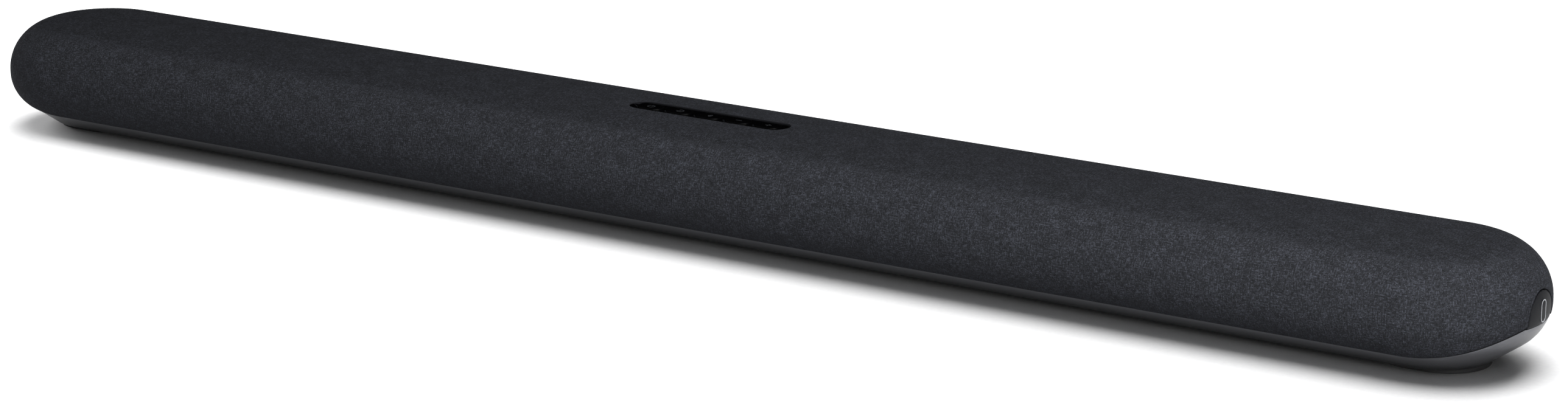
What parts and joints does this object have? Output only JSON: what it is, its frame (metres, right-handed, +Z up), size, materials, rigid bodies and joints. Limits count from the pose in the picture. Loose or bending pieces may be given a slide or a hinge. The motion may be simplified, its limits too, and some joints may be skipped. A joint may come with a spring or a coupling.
{
  "type": "soundbar",
  "caption": "Slim round-ended powered loudspeaker bar with a cloth sleeve, a grey base tray and a recessed top key panel.",
  "frame": {"origin": "on the supporting surface, under the centre of the bar", "axes": "+X along the bar to the listener's right, -Y towards the listener, +Z up"},
  "size_m": [0.8996, 0.105, 0.0592],
  "materials": {
    "cover_cloth": "woven charcoal melange polyester",
    "housing_plastic": "moulded ABS, fine texture",
    "tray_plastic": "satin grey moulded ABS",
    "gasket_foam": "closed-cell foam",
    "badge_plastic": "satin moulded ABS",
    "foot_rubber": "moulded rubber",
    "insert_brass": "knurled brass",
    "screw_steel": "zinc-plated steel",
    "panel_gloss": "polished black",
    "key_gloss": "polished black",
    "circuit_board": "glass-epoxy laminate",
    "switch_plastic": "moulded",
    "basket_steel": "pressed and painted steel",
    "cone_paper": "coated paper pulp",
    "surround_rubber": "moulded butyl",
    "magnet_ferrite": "ferrite and zinc-plated steel",
    "dome_cloth": "coated silk",
    "bay_plastic": "moulded ABS",
    "socket_metal": "nickel-plated steel",
    "socket_plastic": "moulded",
    "sink_aluminium": "extruded",
    "transformer_core": "laminated core, taped winding",
    "capacitor_sleeve": "sleeved aluminium can"
  },
  "bodies": {
    "root": {"fabric_cover": "cover_cloth", "upper_housing": "housing_plastic", "base_tray": "tray_plastic", "hem_gasket": "gasket_foam", "end_badge_left": "badge_plastic", "end_badge_right": "badge_plastic", "foot_left": "foot_rubber", "foot_right": "foot_rubber", "bracket_inserts": "insert_brass", "assembly_screws": "screw_steel", "control_panel": "panel_gloss", "panel_carrier": "housing_plastic", "button_board": "circuit_board", "tactile_switches": "switch_plastic", "front_baffle": "housing_plastic", "driver_frame_left": "basket_steel", "driver_surround_left": "surround_rubber", "driver_magnet_left": "magnet_ferrite", "tweeter_left": "basket_steel", "bass_port_left": "housing_plastic", "driver_frame_right": "basket_steel", "driver_surround_right": "surround_rubber", "driver_magnet_right": "magnet_ferrite", "tweeter_right": "basket_steel", "bass_port_right": "housing_plastic", "connector_bay": "bay_plastic", "video_socket": "socket_metal", "data_socket": "socket_metal", "optical_socket": "socket_plastic", "aux_socket": "socket_plastic", "mains_inlet": "socket_plastic", "main_board": "circuit_board", "amplifier_heat_sink": "sink_aluminium", "power_supply_board": "circuit_board", "mains_transformer": "transformer_core", "smoothing_capacitors": "capacitor_sleeve", "supply_spacers": "insert_brass", "board_spacers": "insert_brass"},
    "button_power": {"button_power": "key_gloss"},
    "button_source": {"button_source": "key_gloss"},
    "button_pairing": {"button_pairing": "key_gloss"},
    "button_volume_down": {"button_volume_down": "key_gloss"},
    "button_volume_up": {"button_volume_up": "key_gloss"},
    "driver_cone_left": {"driver_cone_left": "cone_paper"},
    "tweeter_dome_left": {"tweeter_dome_left": "dome_cloth"},
    "driver_cone_right": {"driver_cone_right": "cone_paper"},
    "tweeter_dome_right": {"tweeter_dome_right": "dome_cloth"}
  },
  "joints": [
    {"name": "button_power_press", "type": "slide", "parent": "root", "child": "button_power", "axis": [0, 0, 1], "range_m": [-0.0005, 0], "stiffness_N_per_m": 1200},
    {"name": "button_source_press", "type": "slide", "parent": "root", "child": "button_source", "axis": [0, 0, 1], "range_m": [-0.0005, 0], "stiffness_N_per_m": 1200},
    {"name": "button_pairing_press", "type": "slide", "parent": "root", "child": "button_pairing", "axis": [0, 0, 1], "range_m": [-0.0005, 0], "stiffness_N_per_m": 1200},
    {"name": "button_volume_down_press", "type": "slide", "parent": "root", "child": "button_volume_down", "axis": [0, 0, 1], "range_m": [-0.0005, 0], "stiffness_N_per_m": 1200},
    {"name": "button_volume_up_press", "type": "slide", "parent": "root", "child": "button_volume_up", "axis": [0, 0, 1], "range_m": [-0.0005, 0], "stiffness_N_per_m": 1200},
    {"name": "driver_cone_left_stroke", "type": "slide", "parent": "root", "child": "driver_cone_left", "axis": [0, -1, 0], "range_m": [-0.002, 0.002], "stiffness_N_per_m": 1000},
    {"name": "tweeter_dome_left_stroke", "type": "slide", "parent": "root", "child": "tweeter_dome_left", "axis": [0, -1, 0], "range_m": [-0.00025, 0.00025], "stiffness_N_per_m": 2000},
    {"name": "driver_cone_right_stroke", "type": "slide", "parent": "root", "child": "driver_cone_right", "axis": [0, -1, 0], "range_m": [-0.002, 0.002], "stiffness_N_per_m": 1000},
    {"name": "tweeter_dome_right_stroke", "type": "slide", "parent": "root", "child": "tweeter_dome_right", "axis": [0, -1, 0], "range_m": [-0.00025, 0.00025], "stiffness_N_per_m": 2000}
  ]
}
